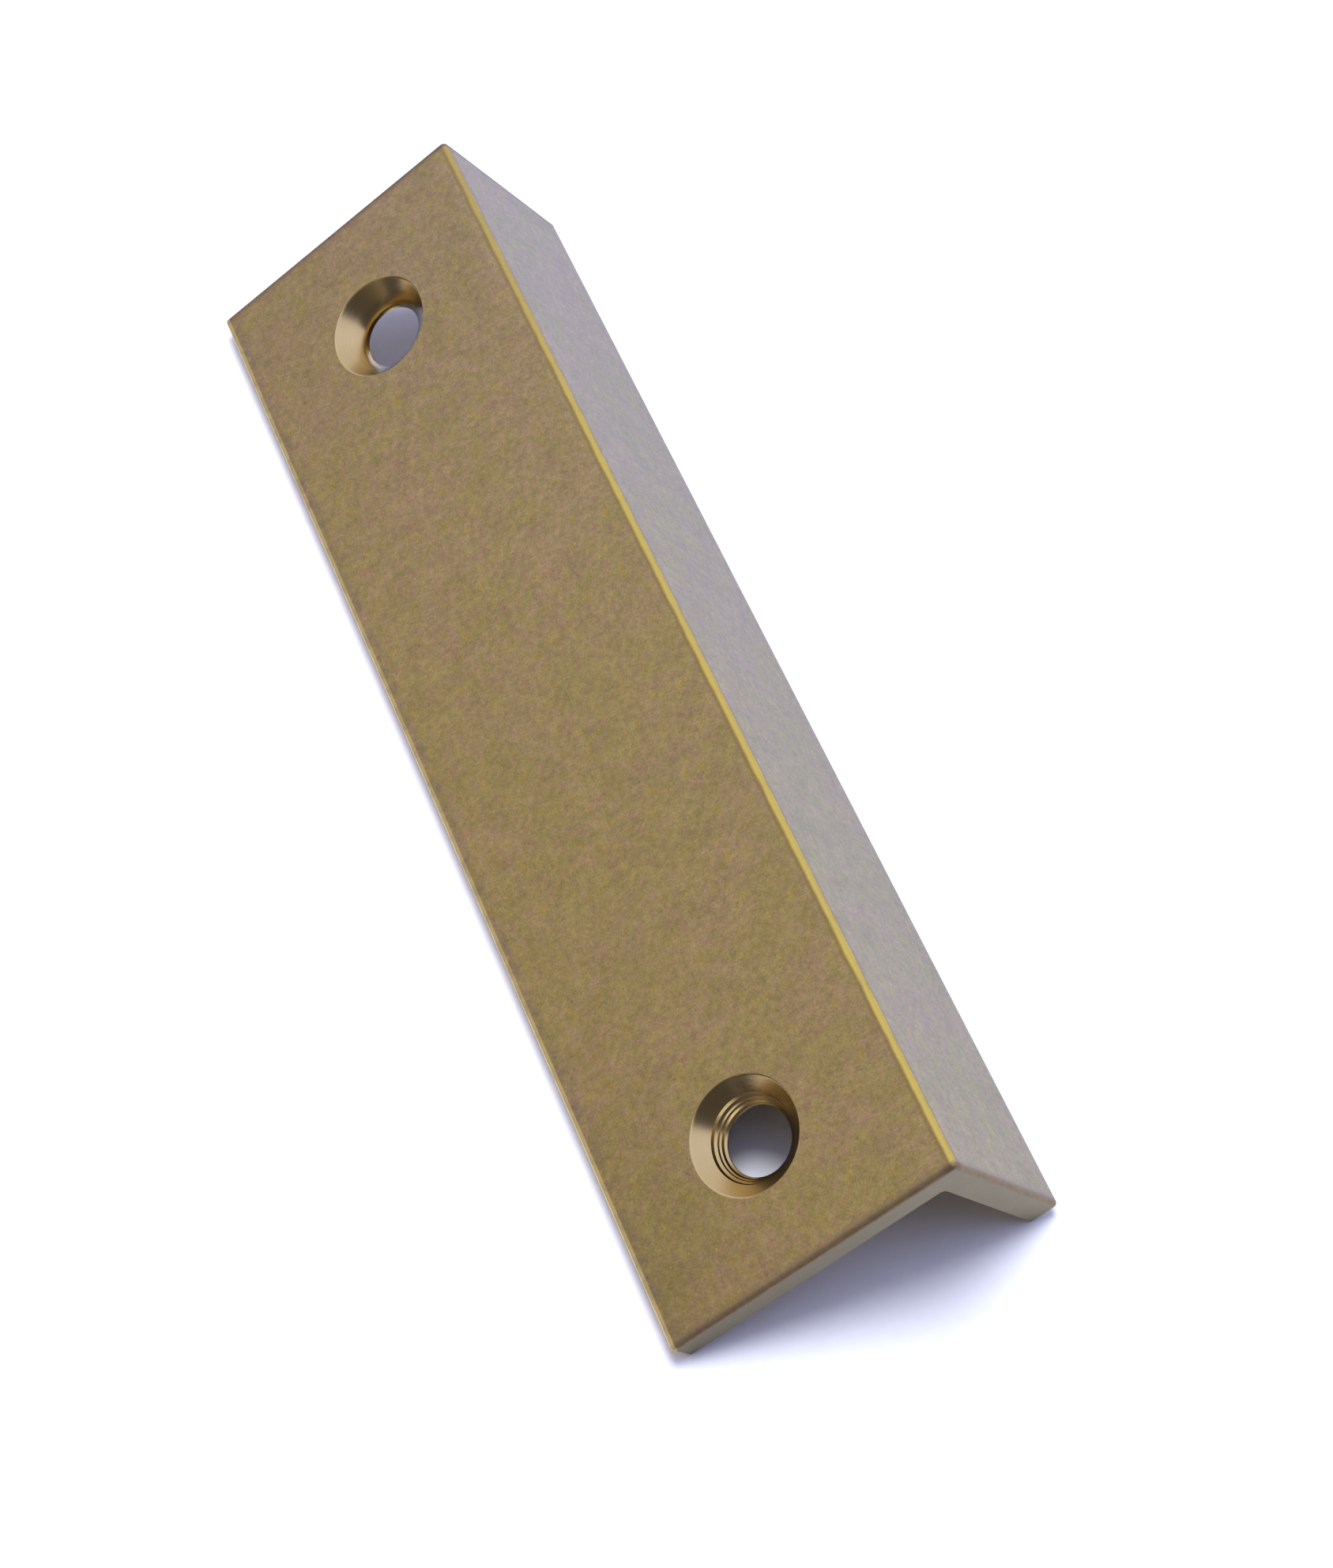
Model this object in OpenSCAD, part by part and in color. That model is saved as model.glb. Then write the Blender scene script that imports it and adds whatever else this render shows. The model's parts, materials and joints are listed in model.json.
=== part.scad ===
// Kick plate cut from brass angle: a wide leg with two countersunk screw
// holes and a plain narrow leg. It stands on the free edges of its legs,
// with the ridge up, the length along Y and the wide leg falling towards -X.

/* [Angle section] */
// Width of the wide leg, over the outside of the angle
wide_leg = 19.1; // [16:0.1:30]
// Width of the narrow leg, over the outside of the angle
narrow_leg = 13; // [8:0.1:20]
// Thickness of both legs
thickness = 1.9; // [1.6:0.1:3]
// Length of the piece cut from the bar
plate_length = 77.3; // [40:0.1:300]

/* [Edges] */
// Radius of the ridge, the outer corner between the legs
ridge_radius = 0.35; // [0.1:0.05:1]
// Radius of the inner corner between the legs
fillet_radius = 0.3; // [0.2:0.1:1.5]
// Radius along both sides of each leg's free edge
tip_radius = 0.25; // [0.1:0.05:0.7]
// Radius of the corners where a free edge meets a cut end
corner_radius = 0.3; // [0.1:0.05:2]
// Radius along the outside of the cut ends, where the saw's burr is filed off
end_radius = 0.3; // [0.1:0.05:1]

/* [Screw holes] */
// Diameter of the clearance hole for the screw's shank
bore_d = 4; // [3.4:0.1:5]
// Diameter of the countersink at the outer face
countersink_d = 6.8; // [5.6:0.1:7.4]
// Angle of the countersink, from side to side
countersink_angle = 90; // [82:1:120]
// Diameter at which the countersink meets the steeper throat below it
throat_d = 5.1; // [4.2:0.1:5.5]
// Length of the straight wall left between the throat and the inner face
wall_length = 0.2; // [0.1:0.05:0.6]
// Front end of the plate to the centre of the front hole
front_hole_from_end = 8.15; // [6:0.05:15]
// Back end of the plate to the centre of the back hole
back_hole_from_end = 8.65; // [6:0.05:15]
// Ridge to the centre of the front hole
front_hole_from_ridge = 10; // [7:0.1:12]
// Ridge to the centre of the back hole
back_hole_from_ridge = 9.4; // [7:0.1:12]

/* [Hidden] */
$fn = 96;

// How far a cutter runs past the metal, so that no faces coincide
overrun = 1;

countersink_depth = (countersink_d - throat_d) / 2 / tan(countersink_angle / 2);

// Slope of the wide leg when the inner corners of both free edges touch down
rest_angle = atan2(narrow_leg - thickness, wide_leg - thickness);

// How far the plate reaches from the sharp ridge corner to its left, to its
// right and down, past the rounding of the free edges
wide_reach = (wide_leg - tip_radius) * cos(rest_angle) - tip_radius * sin(rest_angle) + tip_radius;
narrow_reach = (narrow_leg - tip_radius) * sin(rest_angle) - tip_radius * cos(rest_angle) + tip_radius;
down_reach = (wide_leg - tip_radius) * sin(rest_angle)
           + (thickness - tip_radius) * cos(rest_angle) + tip_radius;

// What a rounding of radius r takes off a square corner at the origin, or
// what a fillet of that radius adds to an inner one
module corner_sliver(r) {
    difference() {
        square(r);
        translate([r, r]) circle(r);
    }
}

// Section of the bar: X runs down the wide leg from the ridge, Y down the
// narrow leg, and the outer faces lie on the axes
module section() {
    difference() {
        union() {
            square([wide_leg, thickness]);
            square([thickness, narrow_leg]);
            translate([thickness, thickness]) corner_sliver(fillet_radius);
        }
        corner_sliver(ridge_radius);
        translate([wide_leg, 0]) rotate(90) corner_sliver(tip_radius);
        translate([wide_leg, thickness]) rotate(180) corner_sliver(tip_radius);
        translate([0, narrow_leg]) rotate(-90) corner_sliver(tip_radius);
        translate([thickness, narrow_leg]) rotate(180) corner_sliver(tip_radius);
    }
}

// Rounds one leg's front end. The leg lies along X in the XY plane, its outer
// face is at z = 0, its free edge is at x = reach and its end is at y = 0.
module leg_end_cutter(reach) {
    translate([reach, 0, -overrun])
        rotate(90) linear_extrude(thickness + 2 * overrun) corner_sliver(corner_radius);
    translate([-overrun, 0, 0])
        rotate([90, 0, 90]) linear_extrude(reach + 2 * overrun) corner_sliver(end_radius);
}

// Rounds the front end of both legs
module end_cutter() {
    translate([0, -plate_length / 2, 0]) {
        leg_end_cutter(wide_leg);
        rotate([0, -90, 0]) mirror([0, 0, 1]) leg_end_cutter(narrow_leg);
    }
}

// Cuts one screw hole, entering a face at z = 0 and leaving along +Z
module screw_cutter() {
    translate([0, 0, -overrun])
        cylinder(h = thickness + 2 * overrun, d = bore_d);
    translate([0, 0, -overrun])
        cylinder(h = countersink_depth + overrun,
                 r1 = countersink_d / 2 + overrun * tan(countersink_angle / 2),
                 r2 = throat_d / 2);
    translate([0, 0, countersink_depth])
        cylinder(h = thickness - wall_length - countersink_depth,
                 r1 = throat_d / 2, r2 = bore_d / 2);
}

// The plate in the frame of its legs: X down the wide leg, Z down the narrow
module plate_on_its_legs() {
    difference() {
        rotate([90, 0, 0]) linear_extrude(plate_length, center = true) section();
        end_cutter();
        mirror([0, 1, 0]) end_cutter();
        translate([front_hole_from_ridge, front_hole_from_end - plate_length / 2, 0])
            screw_cutter();
        translate([back_hole_from_ridge, plate_length / 2 - back_hole_from_end, 0])
            screw_cutter();
    }
}

module angle_plate() {
    color([0.62, 0.50, 0.33])
        translate([(wide_reach - narrow_reach) / 2, 0, down_reach])
            rotate([0, 180 - rest_angle, 0])
                plate_on_its_legs();
}

angle_plate();
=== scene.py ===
"""Looks for the kick plate: one aged brass angle with two countersunk holes, on a pale floor."""

import json
import math

import bmesh
import bpy
from mathutils import Matrix, Vector, noise


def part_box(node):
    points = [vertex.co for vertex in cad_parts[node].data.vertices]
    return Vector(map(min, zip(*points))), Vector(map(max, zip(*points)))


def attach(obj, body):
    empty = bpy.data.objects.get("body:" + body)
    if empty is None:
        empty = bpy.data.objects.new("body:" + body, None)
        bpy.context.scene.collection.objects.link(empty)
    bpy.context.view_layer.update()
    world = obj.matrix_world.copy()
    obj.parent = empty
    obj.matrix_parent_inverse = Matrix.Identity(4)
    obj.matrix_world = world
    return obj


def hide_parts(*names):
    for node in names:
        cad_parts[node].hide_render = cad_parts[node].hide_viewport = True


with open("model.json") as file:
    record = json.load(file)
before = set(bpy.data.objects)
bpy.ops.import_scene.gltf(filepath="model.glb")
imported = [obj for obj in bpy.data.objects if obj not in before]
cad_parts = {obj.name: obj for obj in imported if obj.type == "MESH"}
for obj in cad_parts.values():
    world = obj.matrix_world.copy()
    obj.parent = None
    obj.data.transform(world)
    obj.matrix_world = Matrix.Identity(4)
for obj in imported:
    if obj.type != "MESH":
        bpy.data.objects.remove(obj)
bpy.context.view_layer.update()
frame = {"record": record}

MM = 0.001

# ---------------------------------------------------------------- measures of the plate

WIDE_LEG = 19.1 * MM
NARROW_LEG = 13.0 * MM
THICKNESS = 1.9 * MM
RIDGE_RADIUS = 0.35 * MM
FILLET_RADIUS = 0.3 * MM
TIP_RADIUS = 0.25 * MM
END_RADIUS = 0.3 * MM
COUNTERSINK_RADIUS = 3.4 * MM
THROAT_RADIUS = 2.55 * MM
WALL_LENGTH = 0.2 * MM


class Plate:
    """Where the angle lies: the ridge line and the directions down its two legs."""

    def __init__(self):
        mounts = {mount["name"]: mount for mount in frame["record"]["mounts"]}
        self.down_wide = Vector(mounts["narrow_seat"]["axis"]).normalized()
        self.down_narrow = Vector(mounts["wide_seat"]["axis"]).normalized()
        self.low, self.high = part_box("angle_plate")
        self.length = self.high.y - self.low.y
        self.middle = (self.low.y + self.high.y) / 2
        down_both = self.down_wide + self.down_narrow
        tip_centre = (WIDE_LEG - TIP_RADIUS) * self.down_wide + TIP_RADIUS * self.down_narrow
        ridge_x = self.low.x + TIP_RADIUS - tip_centre.x
        ridge_z = self.high.z - RIDGE_RADIUS - RIDGE_RADIUS * down_both.z
        self.ridge = Vector((ridge_x, self.middle, ridge_z))
        self.bores = [self._bore(mounts[name]) for name in ("front_screw", "back_screw")]

    def _bore(self, mount):
        """(distance down the wide leg, place along Y, bore radius) of a screw hole."""
        place = Vector(mount["pos_m"]) - self.ridge
        return place.dot(self.down_wide), mount["pos_m"][1], mount["dims"]["r_mm"] * MM

    def point(self, u, v, y):
        """The point u down the wide leg, v down the narrow leg and y along Y."""
        place = self.ridge + u * self.down_wide + v * self.down_narrow
        return Vector((place.x, y, place.z))


plate = Plate()

# ---------------------------------------------------------------- mesh helpers


def new_piece(name, bm):
    """Turns a bmesh into an object of that name."""
    mesh = bpy.data.meshes.new(name)
    bm.to_mesh(mesh)
    bm.free()
    made = bpy.data.objects.new(name, mesh)
    bpy.context.scene.collection.objects.link(made)
    return made


def bridge(bm, near, far):
    """Joins two closed rows of vertices with a band of quads, and returns its faces."""
    count = len(near)
    faces = []
    for index in range(count):
        after = (index + 1) % count
        faces.append(bm.faces.new((near[index], near[after], far[after], far[index])))
    return faces


def settle(piece):
    """Applies every modifier of a piece."""
    bpy.context.view_layer.update()
    graph = bpy.context.evaluated_depsgraph_get()
    done = bpy.data.meshes.new_from_object(piece.evaluated_get(graph), depsgraph=graph)
    piece.modifiers.clear()
    old = piece.data
    piece.data = done
    bpy.data.meshes.remove(old)


def cut(bar, cutter):
    """Takes the cutter out of the bar and removes the cutter."""
    modifier = bar.modifiers.new("hole", "BOOLEAN")
    modifier.operation = "DIFFERENCE"
    modifier.solver = "EXACT"
    modifier.object = cutter
    settle(bar)
    bpy.data.objects.remove(cutter)


def smooth_by_angle(piece, angle):
    """Smooth shading, with edges sharper than the angle kept crisp."""
    mesh = piece.data
    mesh.polygons.foreach_set("use_smooth", [True] * len(mesh.polygons))
    bm = bmesh.new()
    bm.from_mesh(mesh)
    for edge in bm.edges:
        edge.smooth = len(edge.link_faces) == 2 and edge.calc_face_angle(0.0) < angle
    bm.to_mesh(mesh)
    bm.free()
    weighted = piece.modifiers.new("weighted_normals", "WEIGHTED_NORMAL")
    weighted.keep_sharp = True
    settle(piece)


# ---------------------------------------------------------------- the bar

# Material slots of the mesh
DRAWN, SAWN, TURNED = range(3)

# Mesh spacing
LOOP_STEP = 0.38 * MM
LENGTH_STEP = 0.4 * MM
ARC_STEPS = 8
END_STEPS = 6

# How much of the end rounding the inner faces get: they are only deburred
INNER_BREAK = 0.35
# The radius that is left on an edge where the end rounding has eaten it up
SHARPEST = 0.02 * MM
# How far from an end its last straight row stands, to clear the rounding
LAST_ROW_GAP = END_RADIUS * 1.1
# How far the end rounding turns before its surface belongs to the sawn end
SAWN_TURN = math.radians(80)

# Wear. Depths and the reach from a corner are in millimetres, and rates, which say how
# quickly the wear changes, are in noise cells per millimetre.
WEAR_REACH = 0.6
WAVE_DEPTH = 0.004
WAVE_RATE = 0.11
RIDGE_NICK_DEPTH = 0.05
RIDGE_NICK_RATE = 0.9
RIDGE_RUB_DEPTH = 0.02
RIDGE_RUB_RATE = 0.25
TIP_NICK_DEPTH = 0.04
TIP_NICK_RATE = 0.7
# The noise level above which there is a nick
RIDGE_NICK_LEVEL = 0.25
TIP_NICK_LEVEL = 0.15
# Where each kind of wear reads its noise, so that no two run alike
RIDGE_NICK_LANE = (3.0, 7.0)
RIDGE_RUB_LANE = (1.0, 2.0)
TIP_NICK_LANE = (11.0, 5.0)


def section_corners(inset):
    """(place, radius) of the section's corners, all faces drawn in by an inset."""
    inside = THICKNESS - INNER_BREAK * inset
    wide_tip = WIDE_LEG - inset
    narrow_tip = NARROW_LEG - inset
    tip_radius = max(TIP_RADIUS - inset, SHARPEST)
    return [
        (Vector((wide_tip, inset)), tip_radius),
        (Vector((wide_tip, inside)), tip_radius),
        (Vector((inside, inside)), FILLET_RADIUS),
        (Vector((inside, narrow_tip)), tip_radius),
        (Vector((inset, narrow_tip)), tip_radius),
        (Vector((inset, inset)), max(RIDGE_RADIUS - inset, SHARPEST)),
    ]


def section_loop(inset):
    """The section as (u, v, outward normal u, outward normal v).

    Every inset gives the same number of points, so that the rows can be joined.
    """
    corners = section_corners(inset)
    uncut = section_corners(0)
    count = len(corners)
    loop = []
    for index, (here, radius) in enumerate(corners):
        following = (index + 1) % count
        after, after_radius = corners[following]
        arrive = (here - corners[index - 1][0]).normalized()
        leave = (after - here).normalized()
        side = 1 if arrive.cross(leave) > 0 else -1
        centre = here - radius * arrive + radius * leave
        for step in range(ARC_STEPS + 1):
            turn = math.pi / 2 * step / ARC_STEPS
            outward = arrive * math.sin(turn) - leave * math.cos(turn)
            spot = centre + radius * outward
            loop.append((spot.x, spot.y, side * outward.x, side * outward.y))
        start = here + radius * leave
        end = after - after_radius * leave
        steps = max(2, round((uncut[following][0] - uncut[index][0]).length / LOOP_STEP))
        for step in range(1, steps):
            spot = start.lerp(end, step / steps)
            loop.append((spot.x, spot.y, leave.y, -leave.x))
    return loop


def stations():
    """(place along Y from the middle, end rounding turn in radians) along the plate."""
    half = plate.length / 2
    straight = half - LAST_ROW_GAP
    steps = round(2 * straight / LENGTH_STEP)
    turns = [math.pi / 2 * step / END_STEPS for step in range(END_STEPS + 1)]
    rows = [(END_RADIUS * (1 - math.sin(turn)) - half, turn) for turn in reversed(turns)]
    rows += [(-straight + 2 * straight * step / steps, 0) for step in range(steps + 1)]
    rows += [(half - END_RADIUS * (1 - math.sin(turn)), turn) for turn in turns]
    return rows


def noise_along(y, rate, lane):
    """Noise from about -1 to 1 along Y, read in a lane of its own."""
    return noise.noise(Vector((*lane, y / MM * rate)))


def wear_depth(u, v, y):
    """How far handling has taken the surface down.

    There are faint waves all over, rubbing and small nicks along the ridge, and small nicks
    along the wide leg's free edge.
    """
    waves = 0.5 + 0.5 * noise.noise(Vector((u, v, y)) / MM * WAVE_RATE)
    depth = WAVE_DEPTH * waves
    if math.hypot(u, v) / MM < WEAR_REACH:
        nick = max(0.0, noise_along(y, RIDGE_NICK_RATE, RIDGE_NICK_LANE) - RIDGE_NICK_LEVEL)
        rub_and_highlight = 0.5 + 0.5 * noise_along(y, RIDGE_RUB_RATE, RIDGE_RUB_LANE)
        depth += RIDGE_NICK_DEPTH * nick + RIDGE_RUB_DEPTH * rub_and_highlight
    if math.hypot(u - WIDE_LEG, v) / MM < WEAR_REACH:
        nick = max(0.0, noise_along(y, TIP_NICK_RATE, TIP_NICK_LANE) - TIP_NICK_LEVEL)
        depth += TIP_NICK_DEPTH * nick
    return depth * MM


def ring(bm, y, turn):
    """One closed row of vertices round the section."""
    row = []
    for u, v, out_u, out_v in section_loop(END_RADIUS * (1 - math.cos(turn))):
        depth = wear_depth(u, v, y) * math.cos(turn)
        place = plate.point(u - out_u * depth, v - out_v * depth, plate.middle + y)
        row.append(bm.verts.new(place))
    return row


def build_bar():
    """The angle without its holes."""
    bm = bmesh.new()
    rows = [(ring(bm, y, turn), turn) for y, turn in stations()]
    for (near, near_turn), (far, far_turn) in zip(rows, rows[1:]):
        slot = SAWN if max(near_turn, far_turn) > SAWN_TURN else DRAWN
        for face in bridge(bm, near, far):
            face.material_index = slot
    for row, _ in (rows[0], rows[-1]):
        cap = bm.faces.new(row)
        cap.material_index = SAWN
    bmesh.ops.recalc_face_normals(bm, faces=bm.faces)
    return new_piece("brass_plate", bm)


# ---------------------------------------------------------------- the screw holes

# Mesh spacing
HOLE_SEGMENTS = 160
CONE_STEPS = 12
CURVE_STEPS = 8

# The broken edge at the outer face, as (radius past the countersink's, depth below the
# face) in millimetres, and the depth at which the true cone starts
OUTER_EDGE = ((0.04, -0.5), (0.025, -0.002), (0.01, 0.006), (-0.015, 0.022))
CONE_START = 0.035 * MM
# The broken edge at the inner face, as (radius past the bore's, depth below that face)
INNER_EDGE = ((0.0, -0.09), (0.03, -0.04), (0.08, 0.01), (0.1, 0.5))

# How the depth of the front throat is shared among the steps that the tool left; the
# back one came out smooth
FRONT_STEPS = (0.4, 0.25, 0.35)
BACK_STEPS = ()
# How far the riser of a step leans in, as a share of its height
RISER_LEAN = 0.4


def stepped_throat(start, end, shares):
    """Points down the throat, (radius, depth), which the tool left in steps.

    Each step is a steep riser and then a land at 45 degrees; shares gives their sizes.
    """
    radius, depth = start
    fall = start[0] - end[0]
    rise = (end[1] - depth - fall) / (1 - RISER_LEAN)
    land = fall - rise * RISER_LEAN
    points = []
    for share in shares:
        radius -= rise * RISER_LEAN * share
        depth += rise * share
        points.append((radius, depth))
        radius -= land * share
        depth += land * share
        points.append((radius, depth))
    return points


def curved_throat(start, end):
    """Points down a throat that turns smoothly from 45 degrees to straight down."""
    fall = start[0] - end[0]
    drop = end[1] - start[1]
    points = []
    for step in range(1, CURVE_STEPS + 1):
        share = step / CURVE_STEPS
        points.append((end[0] + fall * (1 - share) ** (drop / fall), start[1] + drop * share))
    return points


def countersink_profile(bore_radius, shares):
    """(radius, depth below the outer face) from above the face to below the inner face."""
    throat = (THROAT_RADIUS, COUNTERSINK_RADIUS - THROAT_RADIUS)
    bottom = (bore_radius, THICKNESS - WALL_LENGTH)
    profile = [(COUNTERSINK_RADIUS + past * MM, depth * MM) for past, depth in OUTER_EDGE]
    for step in range(CONE_STEPS + 1):
        depth = CONE_START + (throat[1] - CONE_START) * step / CONE_STEPS
        profile.append((COUNTERSINK_RADIUS - depth, depth))
    profile += stepped_throat(throat, bottom, shares) if shares else curved_throat(throat, bottom)
    profile += [(bore_radius + past * MM, THICKNESS + depth * MM) for past, depth in INNER_EDGE]
    return profile


def build_cutter(name, bore, shares):
    """A turned cutter for one countersunk hole."""
    u, y, bore_radius = bore
    bm = bmesh.new()
    rows = []
    for radius, depth in countersink_profile(bore_radius, shares):
        row = []
        for segment in range(HOLE_SEGMENTS):
            angle = math.tau * segment / HOLE_SEGMENTS
            place = plate.point(u + radius * math.cos(angle), depth, y + radius * math.sin(angle))
            row.append(bm.verts.new(place))
        rows.append(row)
    for near, far in zip(rows, rows[1:]):
        bridge(bm, near, far)
    bm.faces.new(rows[0])
    bm.faces.new(rows[-1])
    for face in bm.faces:
        face.material_index = TURNED
    bmesh.ops.recalc_face_normals(bm, faces=bm.faces)
    return new_piece(name, bm)


# ---------------------------------------------------------------- node helpers

# A Mix node has sockets of the same name for each data type; these are the colour ones
MIX_A, MIX_B, MIX_RESULT = 6, 7, 2


def put(tree, value, socket):
    """Links a socket, or sets a plain value."""
    if isinstance(value, bpy.types.NodeSocket):
        tree.links.new(value, socket)
    else:
        socket.default_value = value


def maths(tree, operation, *values):
    """A Math node's result."""
    made = tree.nodes.new("ShaderNodeMath")
    made.operation = operation
    for value, socket in zip(values, made.inputs):
        put(tree, value, socket)
    return made.outputs[0]


def vector_maths(tree, operation, *values):
    """A Vector Math node's result: a number for a dot product, and otherwise a vector."""
    made = tree.nodes.new("ShaderNodeVectorMath")
    made.operation = operation
    for value, socket in zip(values, made.inputs):
        put(tree, value, socket)
    return made.outputs["Value" if operation == "DOT_PRODUCT" else "Vector"]


def times(tree, first, second):
    """The product of two numbers."""
    return maths(tree, "MULTIPLY", first, second)


def line(tree, value, gain, base):
    """A straight line: value times gain, plus base."""
    return maths(tree, "MULTIPLY_ADD", value, gain, base)


def step_up(tree, value, band, ends=(0.0, 1.0)):
    """Goes smoothly from the first end to the second as the value crosses the band.

    The band may run downwards, from the larger number to the smaller.
    """
    made = tree.nodes.new("ShaderNodeMapRange")
    made.interpolation_type = "SMOOTHSTEP"
    made.inputs["From Min"].default_value = band[0]
    made.inputs["From Max"].default_value = band[1]
    made.inputs["To Min"].default_value = ends[0]
    made.inputs["To Max"].default_value = ends[1]
    put(tree, value, made.inputs["Value"])
    return made.outputs["Result"]


def grain(tree, place, rate, detail=3.0, roughness=0.6, stretch=(1, 1, 1)):
    """Noise from 0 to 1; rate is in cycles per unit of the place that is given."""
    made = tree.nodes.new("ShaderNodeTexNoise")
    made.inputs["Scale"].default_value = rate
    made.inputs["Detail"].default_value = detail
    made.inputs["Roughness"].default_value = roughness
    put(tree, vector_maths(tree, "MULTIPLY", place, stretch), made.inputs["Vector"])
    return made.outputs[0]


def mix(tree, factor, first, second):
    """Goes from the first colour to the second as factor goes from 0 to 1."""
    made = tree.nodes.new("ShaderNodeMix")
    made.data_type = "RGBA"
    put(tree, factor, made.inputs[0])
    put(tree, first, made.inputs[MIX_A])
    put(tree, second, made.inputs[MIX_B])
    return made.outputs[MIX_RESULT]


def lay(tree, tint, value, layer):
    """Lays a layer, (band, strength, colour), over a tint as the value crosses its band."""
    band, strength, colour = layer
    return mix(tree, step_up(tree, value, band, (0.0, strength)), tint, colour)


def shaded(tree, tint, shade):
    """A colour multiplied by a number."""
    if not isinstance(tint, bpy.types.NodeSocket):
        tint = tint[:3]
    return vector_maths(tree, "MULTIPLY", tint, shade)


def plate_coordinates(tree):
    """(vector, u, y, v) in millimetres: down the wide leg, along Y, down the narrow leg."""
    place = tree.nodes.new("ShaderNodeTexCoord").outputs["Object"]
    from_ridge = vector_maths(tree, "SUBTRACT", place, plate.ridge)
    u = vector_maths(tree, "DOT_PRODUCT", from_ridge, plate.down_wide / MM)
    v = vector_maths(tree, "DOT_PRODUCT", from_ridge, plate.down_narrow / MM)
    y = vector_maths(tree, "DOT_PRODUCT", from_ridge, Vector((0, 1, 0)) / MM)
    combined = tree.nodes.new("ShaderNodeCombineXYZ")
    for value, socket in zip((u, y, v), combined.inputs):
        put(tree, value, socket)
    return combined.outputs[0], u, y, v


def new_material(name):
    """An empty node material."""
    material = bpy.data.materials.new(name)
    material.use_nodes = True
    material.node_tree.nodes.clear()
    return material


def finish(tree, shader):
    """Ends a material with its shader."""
    output = tree.nodes.new("ShaderNodeOutputMaterial")
    tree.links.new(shader.outputs[0], output.inputs["Surface"])


# How a lacquered, tarnished skin looks when nearly edge on
GRAZING_TINT = (0.3, 0.42, 0.68, 1)
LACQUER_ROUGHNESS = 0.3


def finish_metal(tree, tint, roughness, height, bump_strength, bump_distance, lacquer=0.0):
    """Ends a metal material. A height of 1 stands bump_distance millimetres high."""
    shader = tree.nodes.new("ShaderNodeBsdfPrincipled")
    shader.inputs["Metallic"].default_value = 1.0
    if lacquer:
        shader.inputs["Specular Tint"].default_value = GRAZING_TINT
        shader.inputs["Coat Weight"].default_value = lacquer
        shader.inputs["Coat Roughness"].default_value = LACQUER_ROUGHNESS
    put(tree, tint, shader.inputs["Base Color"])
    put(tree, roughness, shader.inputs["Roughness"])
    bump = tree.nodes.new("ShaderNodeBump")
    bump.inputs["Strength"].default_value = bump_strength
    bump.inputs["Distance"].default_value = bump_distance * MM
    put(tree, height, bump.inputs["Height"])
    put(tree, bump.outputs[0], shader.inputs["Normal"])
    finish(tree, shader)


# ---------------------------------------------------------------- the metal's colours

PINK_BRASS = (0.505, 0.362, 0.182, 1)
OLIVE_BRASS = (0.47, 0.371, 0.135, 1)
RED_BRASS = (0.5, 0.315, 0.165, 1)
YELLOW_BRASS = (0.53, 0.39, 0.1, 1)
# Bright specks, and the ridge's rubbing, where this bright colour is also a painted highlight
WORN_AND_HIGHLIGHT_BRASS = (0.78, 0.555, 0.08, 1)
TURNED_BRASS = (0.69, 0.495, 0.19, 1)
# A painted highlight along the wide leg's free edge
TIP_HIGHLIGHT_BRASS = (0.84, 0.67, 0.3, 1)
# Painted shade beside the ridge's highlight
BORDER_SHADE_BRASS = (0.36, 0.235, 0.05, 1)
STAIN = (0.2, 0.17, 0.17, 1)
BROWN_STAIN = (0.3, 0.2, 0.12, 1)
SAWN_BRASS = (0.218, 0.183, 0.11, 1)

# How much lacquer is left on the drawn skin and in the holes
LACQUER = 0.42

# ---------------------------------------------------------------- the drawn skin

WIDE_MM = WIDE_LEG / MM
HALF_MM = plate.length / 2 / MM

# Fades are (band, value at each end of the band), and a band may run downwards.

# Fades down the wide leg from the ridge, in millimetres
ON_WIDE_LEG = ((0.3, 1.5), (0.0, 1.0))
LOW_ON_WIDE_LEG = ((9.0, WIDE_MM), (0.0, 1.0))
NEAR_TIP = ((WIDE_MM - 1.2, WIDE_MM - 0.6), (0.0, 1.0))
# Where the painted highlight along the wide leg's free edge lies
TIP_HIGHLIGHT_BAND = ((WIDE_MM - 0.42, WIDE_MM - 0.34), (0.0, 1.0))

# Fades along the plate from its middle, in millimetres
PINK_DRIFT = ((-10.0, 38.0), (0.015, -0.05))
FAR_SHADE = ((8.0, 38.0), (0.0, -0.07))
FRONT_HALF = ((-14.0, -36.0), (0.0, 1.0))
# The ridge's rubbing and its painted highlight, weaker towards the far end
RIDGE_RUB_AND_HIGHLIGHT_FADE = ((34.0, 8.0), (0.6, 1.0))

# Fades by the distance from the ridge, in millimetres
# The ridge's rubbing, whose colour is also a painted highlight
RIDGE_RUB_AND_HIGHLIGHT = ((0.38, 0.16), (0.0, 0.95))
RIDGE_CORNER = ((0.9, 0.6), (0.0, 1.0))

# Fades by the distance from an end, in millimetres
WORN_CORNER = ((0.55, 0.3), (0.0, 0.75))
DULL_END = ((0.45, 0.25), (0.0, 0.35))

# Fades by a grain, or by the blotches, which both run from 0 to 1
OLIVE_CLOUDS = ((0.39, 0.58), (0.0, 1.0))
BLOTCHES = ((0.38, 0.68), (0.0, 1.0))
# The painted highlight on the free edge is weaker where the blotches are
TIP_HIGHLIGHT_BY_BLOTCH = ((1.0, 0.0), (0.6, 0.95))

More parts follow.
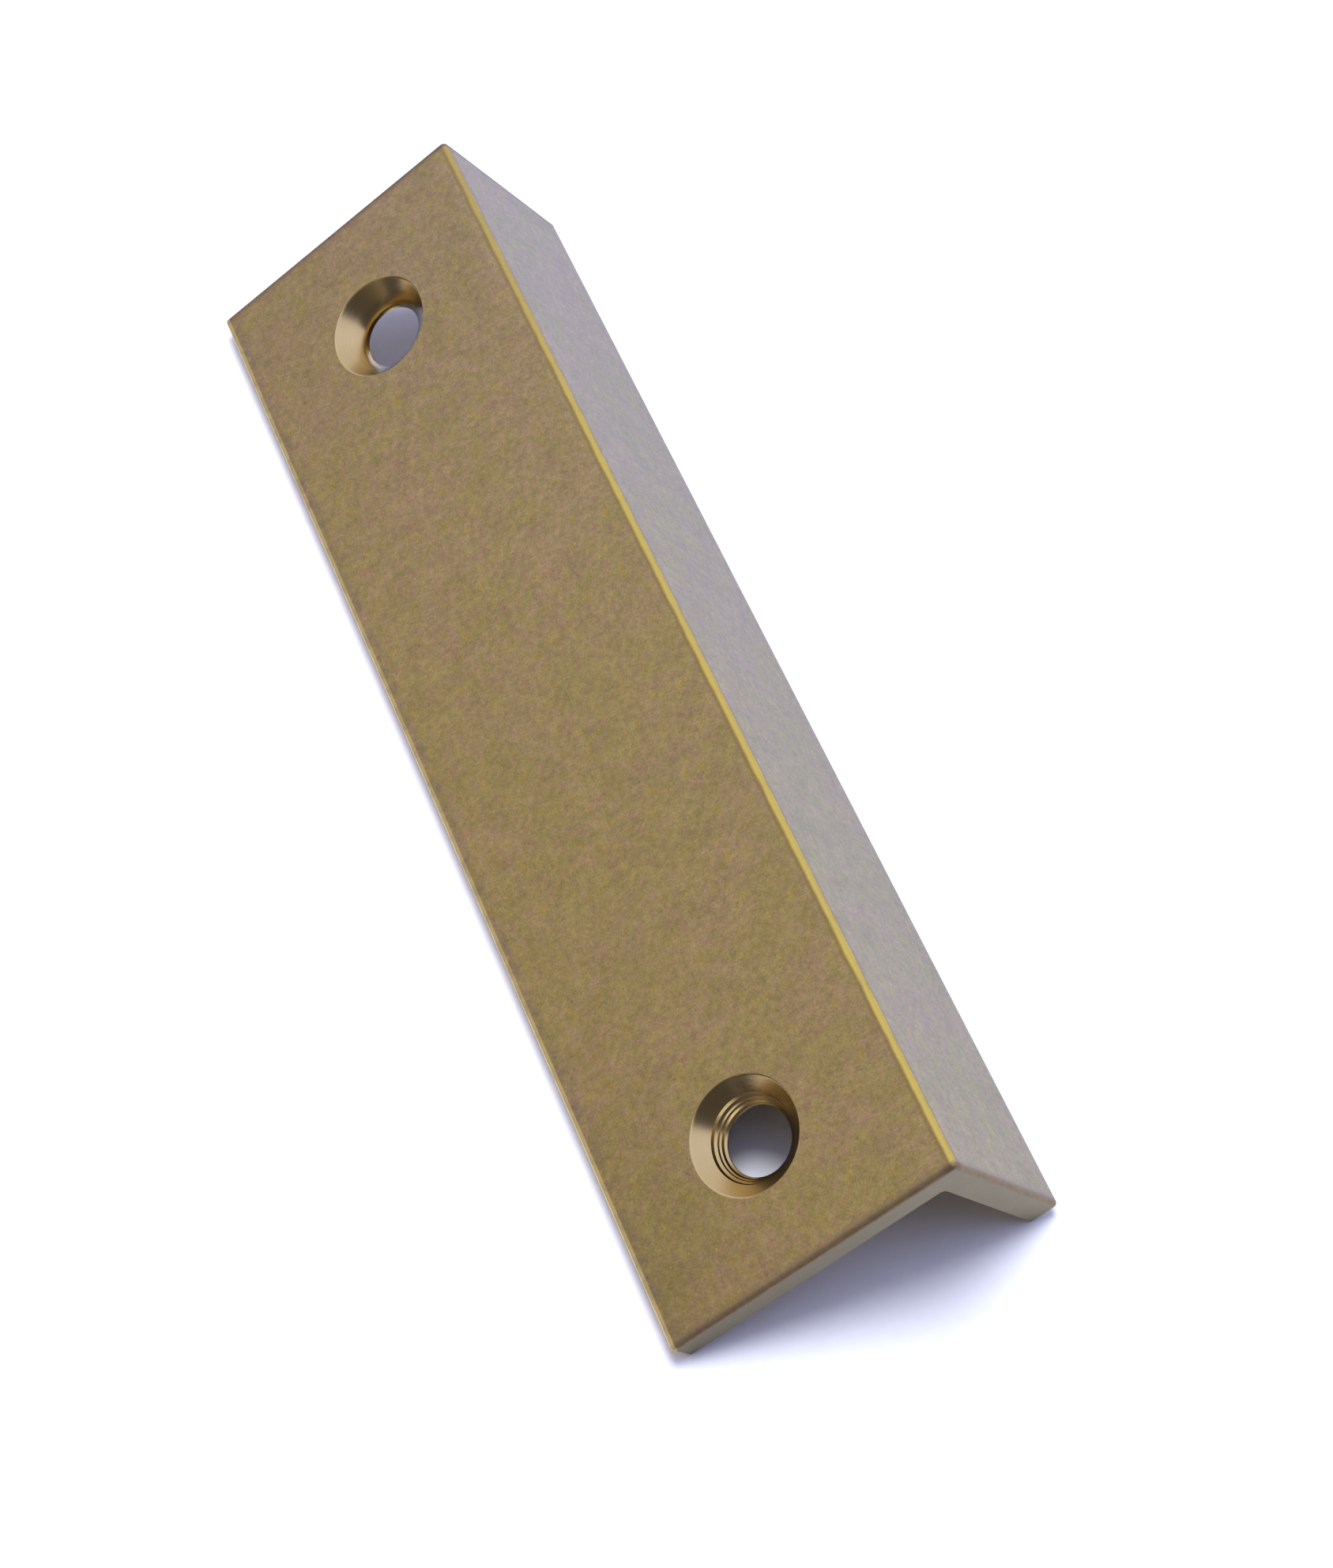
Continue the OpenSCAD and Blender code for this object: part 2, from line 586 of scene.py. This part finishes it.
# Layers are (band, strength, colour); the last two go by distance, and the rest by grain
RED_PATCHES = ((0.52, 0.7), 0.8, RED_BRASS)
YELLOW_PATCHES = ((0.48, 0.3), 0.85, YELLOW_BRASS)
DARK_SPECKS = ((0.72, 0.8), 0.55, STAIN)
BRIGHT_SPECKS = ((0.27, 0.2), 0.6, WORN_AND_HIGHLIGHT_BRASS)
END_STAIN = ((0.75, 0.3), 0.5, BROWN_STAIN)
# Painted shade: a dark border beside the ridge's highlight
RIDGE_SHADE_BORDER = ((0.62, 0.4), 0.6, BORDER_SHADE_BRASS)

# How much of the clouds is the widest grain
WIDE_CLOUD_SHARE = 0.45
# The coloured patches are drawn out a little along the bar
PATCH_STRETCH = (1, 0.8, 1)
# How strong the stain beside the free edge is
TIP_STAIN = 0.42
# What the low front corner of the wide leg loses of its lightness
CORNER_SHADE = -0.14
# How far the edge of the ridge's rubbing wanders, from side to side, in millimetres
RUB_WANDER = 0.24
# What the rubbing takes off the ridge's roughness
RUB_POLISH = -0.22


def mottled_tint(tree, place, y):
    """Clouds of pink and olive, with red and yellow patches over them."""
    wide_cloud = grain(tree, place, rate=0.2, roughness=0.55)
    cloud = grain(tree, place, rate=1.15, detail=4.0, roughness=0.65)
    clouds = line(tree, wide_cloud, WIDE_CLOUD_SHARE, times(tree, cloud, 1 - WIDE_CLOUD_SHARE))
    clouds = maths(tree, "ADD", clouds, step_up(tree, y, *PINK_DRIFT))
    tint = mix(tree, step_up(tree, clouds, *OLIVE_CLOUDS), PINK_BRASS, OLIVE_BRASS)
    patch = grain(tree, place, rate=1.2, detail=4.0, roughness=0.65, stretch=PATCH_STRETCH)
    tint = lay(tree, tint, patch, RED_PATCHES)
    return lay(tree, tint, patch, YELLOW_PATCHES)


def skin_shade(tree, place, u, y, speckle):
    """How light the skin is: grain of three sizes, and a darker far end and low front corner."""
    smudge = grain(tree, place, rate=2.2)
    broad = grain(tree, place, rate=0.55)
    shade = line(tree, speckle, gain=1.15, base=0.425)
    shade = times(tree, shade, line(tree, smudge, gain=0.62, base=0.7))
    shade = times(tree, shade, line(tree, broad, gain=0.44, base=0.78))
    far_side = times(tree, step_up(tree, u, *ON_WIDE_LEG), step_up(tree, y, *FAR_SHADE))
    shade = line(tree, shade, gain=far_side, base=shade)
    low_corner = times(tree, step_up(tree, u, *LOW_ON_WIDE_LEG), step_up(tree, y, *FRONT_HALF))
    return times(tree, shade, line(tree, low_corner, gain=CORNER_SHADE, base=1.0))


def stained_tint(tree, tint, place, u, end_distance, blotch):
    """Adds the dark and bright specks, a blotchy stain at the free edge and brown ends."""
    specks = grain(tree, place, rate=3.2, detail=1.0, roughness=0.4)
    tint = lay(tree, tint, specks, DARK_SPECKS)
    tint = lay(tree, tint, specks, BRIGHT_SPECKS)
    tip_stain = times(tree, step_up(tree, u, *NEAR_TIP), blotch)
    tint = mix(tree, times(tree, tip_stain, TIP_STAIN), tint, STAIN)
    return lay(tree, tint, end_distance, END_STAIN)


def rub_and_painted_light_tint(tree, tint, u, y, ragged_ridge, blotch):
    """Adds the rubbed ridge, whose bright colour is also a painted highlight, with painted
    shade in a dark border beside it, and a painted highlight along the free edge.

    Returns the tint and how rubbed and highlighted the ridge is, from 0 to 1.
    """
    # The ridge's rubbing polishes it, and its bright colour is also a painted highlight
    rub_and_highlight = step_up(tree, ragged_ridge, *RIDGE_RUB_AND_HIGHLIGHT)
    rub_and_highlight = times(tree, rub_and_highlight, step_up(tree, y, *RIDGE_RUB_AND_HIGHLIGHT_FADE))
    # A painted highlight along the wide leg's free edge, weaker on the blotches
    tip_highlight = times(tree, step_up(tree, u, *TIP_HIGHLIGHT_BAND), step_up(tree, blotch, *TIP_HIGHLIGHT_BY_BLOTCH))
    # Painted shade: a dark border beside the ridge
    tint = lay(tree, tint, ragged_ridge, RIDGE_SHADE_BORDER)
    # The free edge's painted highlight
    tint = mix(tree, tip_highlight, tint, TIP_HIGHLIGHT_BRASS)
    return mix(tree, rub_and_highlight, tint, WORN_AND_HIGHLIGHT_BRASS), rub_and_highlight


def drawn_brass():
    """The bar's own skin: mottled pink and olive, dull, with a painted highlight on its rubbed
    ridge.
    """
    material = new_material("drawn_brass")
    tree = material.node_tree
    place, u, y, v = plate_coordinates(tree)
    ridge_distance = maths(tree, "MAXIMUM", u, v)
    end_distance = maths(tree, "SUBTRACT", HALF_MM, maths(tree, "ABSOLUTE", y))
    speckle = grain(tree, place, rate=7.0, roughness=0.75)
    blotch = step_up(tree, grain(tree, place, rate=0.7), *BLOTCHES)
    rub_grain = grain(tree, place, rate=0.5)
    rub_distance = maths(tree, "SUBTRACT", ridge_distance, RUB_WANDER / 2)
    ragged_ridge = line(tree, rub_grain, gain=RUB_WANDER, base=rub_distance)

    tint = mottled_tint(tree, place, y)
    tint = shaded(tree, tint, skin_shade(tree, place, u, y, speckle))
    tint = stained_tint(tree, tint, place, u, end_distance, blotch)
    tint, rub_and_highlight = rub_and_painted_light_tint(tree, tint, u, y, ragged_ridge, blotch)
    worn_corner = step_up(tree, end_distance, *WORN_CORNER)
    worn_corner = times(tree, worn_corner, step_up(tree, ridge_distance, *RIDGE_CORNER))
    tint = mix(tree, worn_corner, tint, BROWN_STAIN)

    roughness = line(tree, speckle, gain=0.12, base=0.32)
    roughness = line(tree, rub_and_highlight, gain=RUB_POLISH, base=roughness)
    roughness = maths(tree, "ADD", roughness, step_up(tree, end_distance, *DULL_END))
    finish_metal(
        tree, tint, roughness, speckle, bump_strength=0.35, bump_distance=0.02, lacquer=LACQUER
    )
    return material


# ---------------------------------------------------------------- the cut metal

# Painted light and shade: a sawn face is lighter beside the ridge, and darker at the wide leg's
# free edge down by the floor
SAWN_PAINTED_LIGHT_AND_SHADE = ((2.0, WIDE_MM), (1.14, 0.88))
# How fine the marks on the ends and in the holes are down the wide leg, along the plate and
# down the narrow leg, in cycles per millimetre
FILE_MARKS = (0.5, 1, 9)
TURNING_RINGS = (0.12, 0.12, 16)


def sawn_brass():
    """The cut ends: greyish, with faint file marks across them, and painted light and shade."""
    material = new_material("sawn_brass")
    tree = material.node_tree
    place, u, _, _ = plate_coordinates(tree)
    marks = grain(tree, place, rate=1.0, stretch=FILE_MARKS)
    cloud = grain(tree, place, rate=0.6)
    shade = line(tree, marks, gain=0.3, base=line(tree, cloud, gain=0.3, base=0.7))
    # Painted light and shade: lighter by the ridge, darker at the wide leg's free edge
    tint = shaded(tree, SAWN_BRASS, times(tree, shade, step_up(tree, u, *SAWN_PAINTED_LIGHT_AND_SHADE)))
    roughness = line(tree, marks, gain=0.15, base=0.4)
    finish_metal(tree, tint, roughness, marks, bump_strength=0.4, bump_distance=0.02)
    return material


def turned_brass():
    """The countersinks and bores: clean metal with fine rings left by the tool."""
    material = new_material("turned_brass")
    tree = material.node_tree
    place = plate_coordinates(tree)[0]
    rings = grain(tree, place, rate=1.0, roughness=0.7, stretch=TURNING_RINGS)
    haze = grain(tree, place, rate=0.9, detail=2.0, roughness=0.5)
    shade = line(tree, rings, gain=0.2, base=line(tree, haze, gain=0.1, base=0.85))
    tint = shaded(tree, TURNED_BRASS, shade)
    roughness = line(tree, rings, gain=0.14, base=0.16)
    finish_metal(
        tree, tint, roughness, rings, bump_strength=0.3, bump_distance=0.01, lacquer=LACQUER
    )
    return material


# ---------------------------------------------------------------- the plate

# Edges that turn more sharply than this stay crisp
CRISP_ANGLE = math.radians(20)


def build_plate():
    """The angle with both holes cut, its materials and its smooth shading."""
    bar = build_bar()
    cutters = [
        build_cutter("front_hole", plate.bores[0], FRONT_STEPS),
        build_cutter("back_hole", plate.bores[1], BACK_STEPS),
    ]
    # A cut hole keeps its material only if the bar and the cutter have the same slots
    for material in (drawn_brass(), sawn_brass(), turned_brass()):
        for piece in (bar, *cutters):
            piece.data.materials.append(material)
    for cutter in cutters:
        cut(bar, cutter)
    smooth_by_angle(bar, CRISP_ANGLE)
    return bar


bar = build_plate()
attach(bar, "root")
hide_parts("angle_plate")

# ---------------------------------------------------------------- floor, surround and card

FLOOR_TINT = (0.85, 0.865, 0.93, 1)
FLOOR_RADIUS = 3.2
FLOOR_SEGMENTS = 96
# The paper's fibres, in cycles per metre
FIBRE_RATE = 1500.0
PAPER_ROUGHNESS = 0.9
PAPER_GLOSS = 0.1

WHITE = (1, 1, 1, 1)
BACKDROP_RADIUS = 3.4
BACKDROP_SEGMENTS = 48

CARD_TINT = (0.05, 0.047, 0.065, 1)
CARD_GAP = 6 * MM
CARD_SIZE = 400 * MM
CARD_RISE = 0.05 * MM

RAY_KINDS = ("camera", "diffuse", "glossy", "transmission", "shadow", "volume_scatter")


def floor_paper():
    """A plain, very slightly grained white sheet."""
    material = new_material("floor_paper")
    tree = material.node_tree
    place = tree.nodes.new("ShaderNodeTexCoord").outputs["Object"]
    fibre = grain(tree, place, rate=FIBRE_RATE, detail=2.0, roughness=0.5)
    tint = shaded(tree, FLOOR_TINT, line(tree, fibre, gain=0.06, base=0.97))
    shader = tree.nodes.new("ShaderNodeBsdfPrincipled")
    shader.inputs["Roughness"].default_value = PAPER_ROUGHNESS
    shader.inputs["Specular IOR Level"].default_value = PAPER_GLOSS
    put(tree, tint, shader.inputs["Base Color"])
    finish(tree, shader)
    return material


def backdrop_white():
    """The plain pale surround that the camera sees past the floor."""
    material = new_material("backdrop_white")
    tree = material.node_tree
    shader = tree.nodes.new("ShaderNodeEmission")
    shader.inputs["Color"].default_value = WHITE
    finish(tree, shader)
    return material


def card_black():
    """Matt black card."""
    material = new_material("card_black")
    tree = material.node_tree
    shader = tree.nodes.new("ShaderNodeBsdfDiffuse")
    shader.inputs["Color"].default_value = CARD_TINT
    finish(tree, shader)
    return material


def seen_only_by(piece, ray):
    """Hides a stage piece from every kind of light ray but one."""
    for kind in RAY_KINDS:
        setattr(piece, "visible_" + kind, kind == ray)


def build_floor():
    """A round floor at the height of the plate's lowest edge."""
    bm = bmesh.new()
    bmesh.ops.create_circle(bm, cap_ends=True, radius=FLOOR_RADIUS, segments=FLOOR_SEGMENTS)
    made = new_piece("floor", bm)
    made.location = (0, 0, plate.low.z)
    made.data.materials.append(floor_paper())
    return made


def build_backdrop():
    """A white ball round the whole scene, which only the camera sees."""
    bm = bmesh.new()
    bmesh.ops.create_uvsphere(
        bm,
        u_segments=BACKDROP_SEGMENTS,
        v_segments=BACKDROP_SEGMENTS // 2,
        radius=BACKDROP_RADIUS,
    )
    made = new_piece("backdrop", bm)
    made.data.materials.append(backdrop_white())
    seen_only_by(made, "camera")
    return made


def build_black_card():
    """A black card beside the wide leg, which only the metal's reflections show."""
    right = plate.low.x - CARD_GAP
    left = right - CARD_SIZE
    z = plate.low.z + CARD_RISE
    bm = bmesh.new()
    corners = [
        (left, -CARD_SIZE, z),
        (right, -CARD_SIZE, z),
        (right, CARD_SIZE, z),
        (left, CARD_SIZE, z),
    ]
    bm.faces.new([bm.verts.new(corner) for corner in corners])
    made = new_piece("black_card", bm)
    made.data.materials.append(card_black())
    seen_only_by(made, "glossy")
    return made


floor = build_floor()
backdrop = build_backdrop()
black_card = build_black_card()

# ---------------------------------------------------------------- light

DARK_ROOM = (0.075, 0.072, 0.1, 1)
# (direction, where it is full and where it ends in degrees off that direction, colour)
SKY_PATCHES = [
    ((-0.75, 0.45, 0.48), 35, 75, (0.58, 0.52, 0.49, 1)),
    ((0.45, 0.55, 0.70), 60, 68, (0.78, 0.82, 1.2, 1)),
    ((0.1, 0.05, 1.0), 18, 40, (0.82, 0.9, 1.45, 1)),
]
SKY_STRENGTH = 1.0

KEY_DISTANCE = 1.0
KEY_HALF_ANGLE = math.radians(13.0)
KEY_DIRECTION = (0.05, 0.18, 0.97)
KEY_COLOUR = (0.97, 0.97, 0.96)
KEY_ENERGY = 9


def light_room():
    """A dim room with soft patches of light round the object."""
    world = bpy.data.worlds.new("studio")
    bpy.context.scene.world = world
    world.use_nodes = True
    tree = world.node_tree
    tree.nodes.clear()
    direction = tree.nodes.new("ShaderNodeTexCoord").outputs["Generated"]
    sky = DARK_ROOM
    for centre, inner, outer, tint in SKY_PATCHES:
        aligned = vector_maths(tree, "DOT_PRODUCT", direction, Vector(centre).normalized())
        fade = (math.cos(math.radians(outer)), math.cos(math.radians(inner)))
        sky = mix(tree, step_up(tree, aligned, fade), sky, tint)
    shader = tree.nodes.new("ShaderNodeBackground")
    put(tree, sky, shader.inputs["Color"])
    shader.inputs["Strength"].default_value = SKY_STRENGTH
    output = tree.nodes.new("ShaderNodeOutputWorld")
    tree.links.new(shader.outputs[0], output.inputs["Surface"])


def overhead_light():
    """A round softbox almost straight above, leaning towards the back of the plate.

    The metal's reflections don't show it: their highlights come from the room's patches.
    """
    data = bpy.data.lights.new("softbox", "AREA")
    data.shape = "DISK"
    data.size = 2 * KEY_DISTANCE * math.tan(KEY_HALF_ANGLE)
    data.color = KEY_COLOUR
    data.energy = KEY_ENERGY
    lamp = bpy.data.objects.new("softbox", data)
    direction = Vector(KEY_DIRECTION).normalized()
    lamp.location = direction * KEY_DISTANCE
    lamp.rotation_euler = direction.to_track_quat("Z", "Y").to_euler()
    lamp.visible_camera = False
    lamp.visible_glossy = False
    bpy.context.scene.collection.objects.link(lamp)


light_room()
overhead_light()

# ---------------------------------------------------------------- camera

# The camera's heading from +Y towards +X, its angle down, its roll and its distance
HEADING = math.radians(21.417)
DOWN = math.radians(58.304)
ROLL = math.radians(0.914)
DISTANCE = 183.90 * MM
# What it looks at: a point in the space between the legs, a little in front of the middle
AIM = plate.point(7.483 * MM, 5.994 * MM, -6.218 * MM)
# Focal length and film width in millimetres
LENS = 71.61
FILM_WIDTH = 36


def set_camera():
    """Stands the camera where the photo was taken from."""
    forward = Vector(
        (
            math.sin(HEADING) * math.cos(DOWN),
            math.cos(HEADING) * math.cos(DOWN),
            -math.sin(DOWN),
        )
    )
    level = forward.cross(Vector((0, 0, 1))).normalized()
    above = level.cross(forward)
    right = level * math.cos(ROLL) - above * math.sin(ROLL)
    up = above * math.cos(ROLL) + level * math.sin(ROLL)
    turn = Matrix((right, up, -forward)).transposed()
    data = bpy.data.cameras.new("camera")
    data.lens = LENS
    data.sensor_width = FILM_WIDTH
    camera = bpy.data.objects.new("camera", data)
    bpy.context.scene.collection.objects.link(camera)
    camera.matrix_world = Matrix.Translation(AIM - forward * DISTANCE) @ turn.to_4x4()
    bpy.context.scene.camera = camera


set_camera()
bpy.context.scene.view_settings.view_transform = "Standard"
